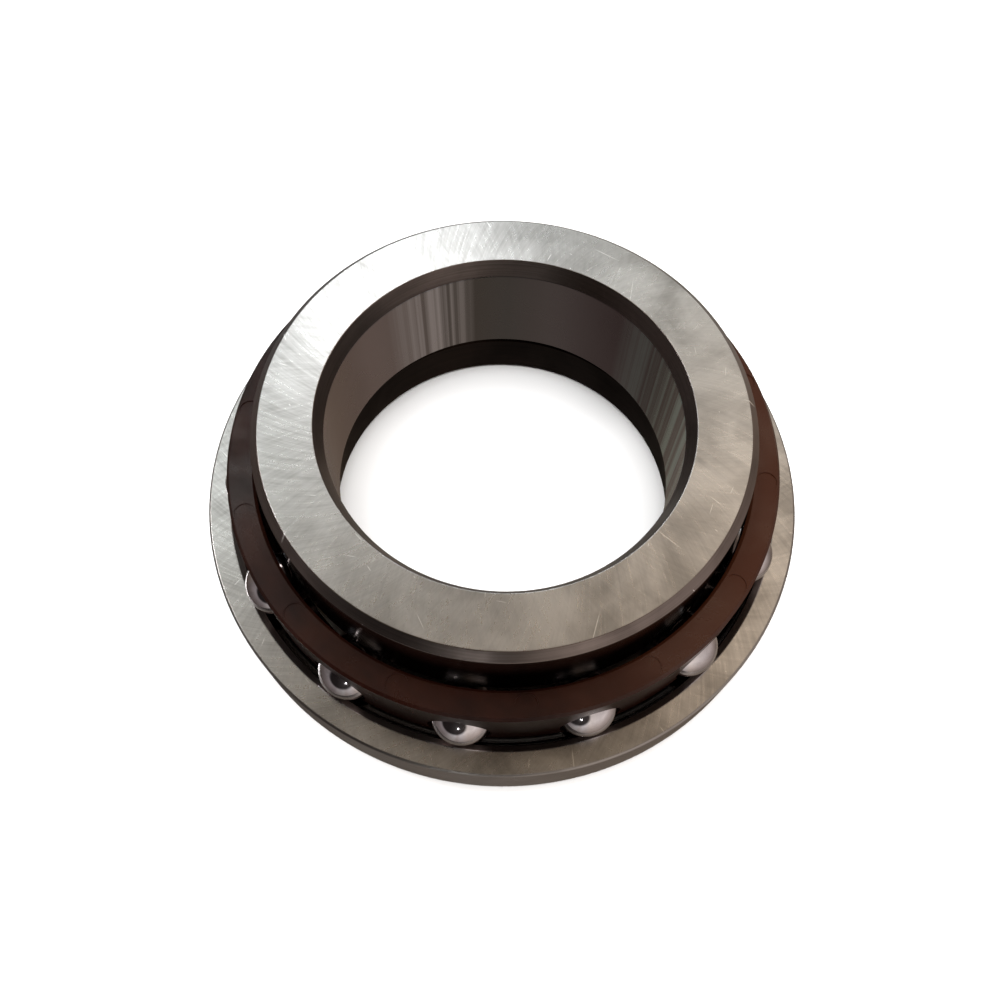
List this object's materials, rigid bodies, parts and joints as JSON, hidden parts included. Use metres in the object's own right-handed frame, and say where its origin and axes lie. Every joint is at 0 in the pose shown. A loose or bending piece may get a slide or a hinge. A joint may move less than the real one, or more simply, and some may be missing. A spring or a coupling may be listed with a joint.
{
  "type": "angular contact ball bearing",
  "caption": "Steering-head angular contact bearing: flat outer ring with a raceway, taller inner ring standing in it, polymer cage and steel balls that roll between them.",
  "frame": {"origin": "on the bearing's axis, at the underside of the outer ring", "axes": "+Z along the bearing's axis, from the outer ring's underside towards the inner ring's top face; +X and +Y lie in the plane of the rings"},
  "size_m": [0.047, 0.047, 0.015],
  "materials": {
    "ring_steel": "ground bearing steel, fine crossing grinding marks",
    "ball_steel": "polished bearing steel",
    "cage_polymer": "moulded dark brown polyamide, glossy with oil"
  },
  "bodies": {
    "outer_ring": {"outer_ring": "ring_steel"},
    "inner_ring": {"inner_ring": "ring_steel"},
    "cage": {"cage": "cage_polymer"},
    "ball_01": {"ball_01": "ball_steel"},
    "ball_02": {"ball_02": "ball_steel"},
    "ball_03": {"ball_03": "ball_steel"},
    "ball_04": {"ball_04": "ball_steel"},
    "ball_05": {"ball_05": "ball_steel"},
    "ball_06": {"ball_06": "ball_steel"},
    "ball_07": {"ball_07": "ball_steel"},
    "ball_08": {"ball_08": "ball_steel"},
    "ball_09": {"ball_09": "ball_steel"},
    "ball_10": {"ball_10": "ball_steel"},
    "ball_11": {"ball_11": "ball_steel"},
    "ball_12": {"ball_12": "ball_steel"},
    "ball_13": {"ball_13": "ball_steel"},
    "ball_14": {"ball_14": "ball_steel"}
  },
  "joints": [
    {"name": "inner_ring_turn", "type": "hinge", "parent": "outer_ring", "child": "inner_ring", "pos_m": [0, 0, 0.01], "axis": [0, 0, 1], "continuous": true},
    {"name": "cage_turn", "type": "hinge", "parent": "outer_ring", "child": "cage", "pos_m": [0, 0, 0.0075], "axis": [0, 0, 1], "continuous": true},
    {"name": "ball_01_spin", "type": "hinge", "parent": "cage", "child": "ball_01", "pos_m": [0.0193, 0.00196, 0.0062], "axis": [0.7035, 0.0715, 0.7071], "continuous": true},
    {"name": "ball_02_spin", "type": "hinge", "parent": "cage", "child": "ball_02", "pos_m": [0.01654, 0.01014, 0.0062], "axis": [0.6028, 0.3696, 0.7071], "continuous": true},
    {"name": "ball_03_spin", "type": "hinge", "parent": "cage", "child": "ball_03", "pos_m": [0.0105, 0.01631, 0.0062], "axis": [0.3827, 0.5946, 0.7071], "continuous": true},
    {"name": "ball_04_spin", "type": "hinge", "parent": "cage", "child": "ball_04", "pos_m": [0.00238, 0.01925, 0.0062], "axis": [0.0869, 0.7017, 0.7071], "continuous": true},
    {"name": "ball_05_spin", "type": "hinge", "parent": "cage", "child": "ball_05", "pos_m": [-0.00621, 0.01838, 0.0062], "axis": [-0.2262, 0.6699, 0.7071], "continuous": true},
    {"name": "ball_06_spin", "type": "hinge", "parent": "cage", "child": "ball_06", "pos_m": [-0.01357, 0.01387, 0.0062], "axis": [-0.4945, 0.5055, 0.7071], "continuous": true},
    {"name": "ball_07_spin", "type": "hinge", "parent": "cage", "child": "ball_07", "pos_m": [-0.01824, 0.00661, 0.0062], "axis": [-0.6648, 0.2409, 0.7071], "continuous": true},
    {"name": "ball_08_spin", "type": "hinge", "parent": "cage", "child": "ball_08", "pos_m": [-0.0193, -0.00196, 0.0062], "axis": [-0.7035, -0.0715, 0.7071], "continuous": true},
    {"name": "ball_09_spin", "type": "hinge", "parent": "cage", "child": "ball_09", "pos_m": [-0.01654, -0.01014, 0.0062], "axis": [-0.6028, -0.3696, 0.7071], "continuous": true},
    {"name": "ball_10_spin", "type": "hinge", "parent": "cage", "child": "ball_10", "pos_m": [-0.0105, -0.01631, 0.0062], "axis": [-0.3827, -0.5946, 0.7071], "continuous": true},
    {"name": "ball_11_spin", "type": "hinge", "parent": "cage", "child": "ball_11", "pos_m": [-0.00238, -0.01925, 0.0062], "axis": [-0.0869, -0.7017, 0.7071], "continuous": true},
    {"name": "ball_12_spin", "type": "hinge", "parent": "cage", "child": "ball_12", "pos_m": [0.00621, -0.01838, 0.0062], "axis": [0.2262, -0.6699, 0.7071], "continuous": true},
    {"name": "ball_13_spin", "type": "hinge", "parent": "cage", "child": "ball_13", "pos_m": [0.01357, -0.01387, 0.0062], "axis": [0.4945, -0.5055, 0.7071], "continuous": true},
    {"name": "ball_14_spin", "type": "hinge", "parent": "cage", "child": "ball_14", "pos_m": [0.01824, -0.00661, 0.0062], "axis": [0.6648, -0.2409, 0.7071], "continuous": true}
  ],
  "couplings": [
    {"joint": "cage_turn", "follows": "inner_ring_turn", "ratio": 0.4566},
    {"joint": "ball_01_spin", "follows": "inner_ring_turn", "ratio": -4.0428},
    {"joint": "ball_02_spin", "follows": "inner_ring_turn", "ratio": -4.0428},
    {"joint": "ball_03_spin", "follows": "inner_ring_turn", "ratio": -4.0428},
    {"joint": "ball_04_spin", "follows": "inner_ring_turn", "ratio": -4.0428},
    {"joint": "ball_05_spin", "follows": "inner_ring_turn", "ratio": -4.0428},
    {"joint": "ball_06_spin", "follows": "inner_ring_turn", "ratio": -4.0428},
    {"joint": "ball_07_spin", "follows": "inner_ring_turn", "ratio": -4.0428},
    {"joint": "ball_08_spin", "follows": "inner_ring_turn", "ratio": -4.0428},
    {"joint": "ball_09_spin", "follows": "inner_ring_turn", "ratio": -4.0428},
    {"joint": "ball_10_spin", "follows": "inner_ring_turn", "ratio": -4.0428},
    {"joint": "ball_11_spin", "follows": "inner_ring_turn", "ratio": -4.0428},
    {"joint": "ball_12_spin", "follows": "inner_ring_turn", "ratio": -4.0428},
    {"joint": "ball_13_spin", "follows": "inner_ring_turn", "ratio": -4.0428},
    {"joint": "ball_14_spin", "follows": "inner_ring_turn", "ratio": -4.0428}
  ]
}
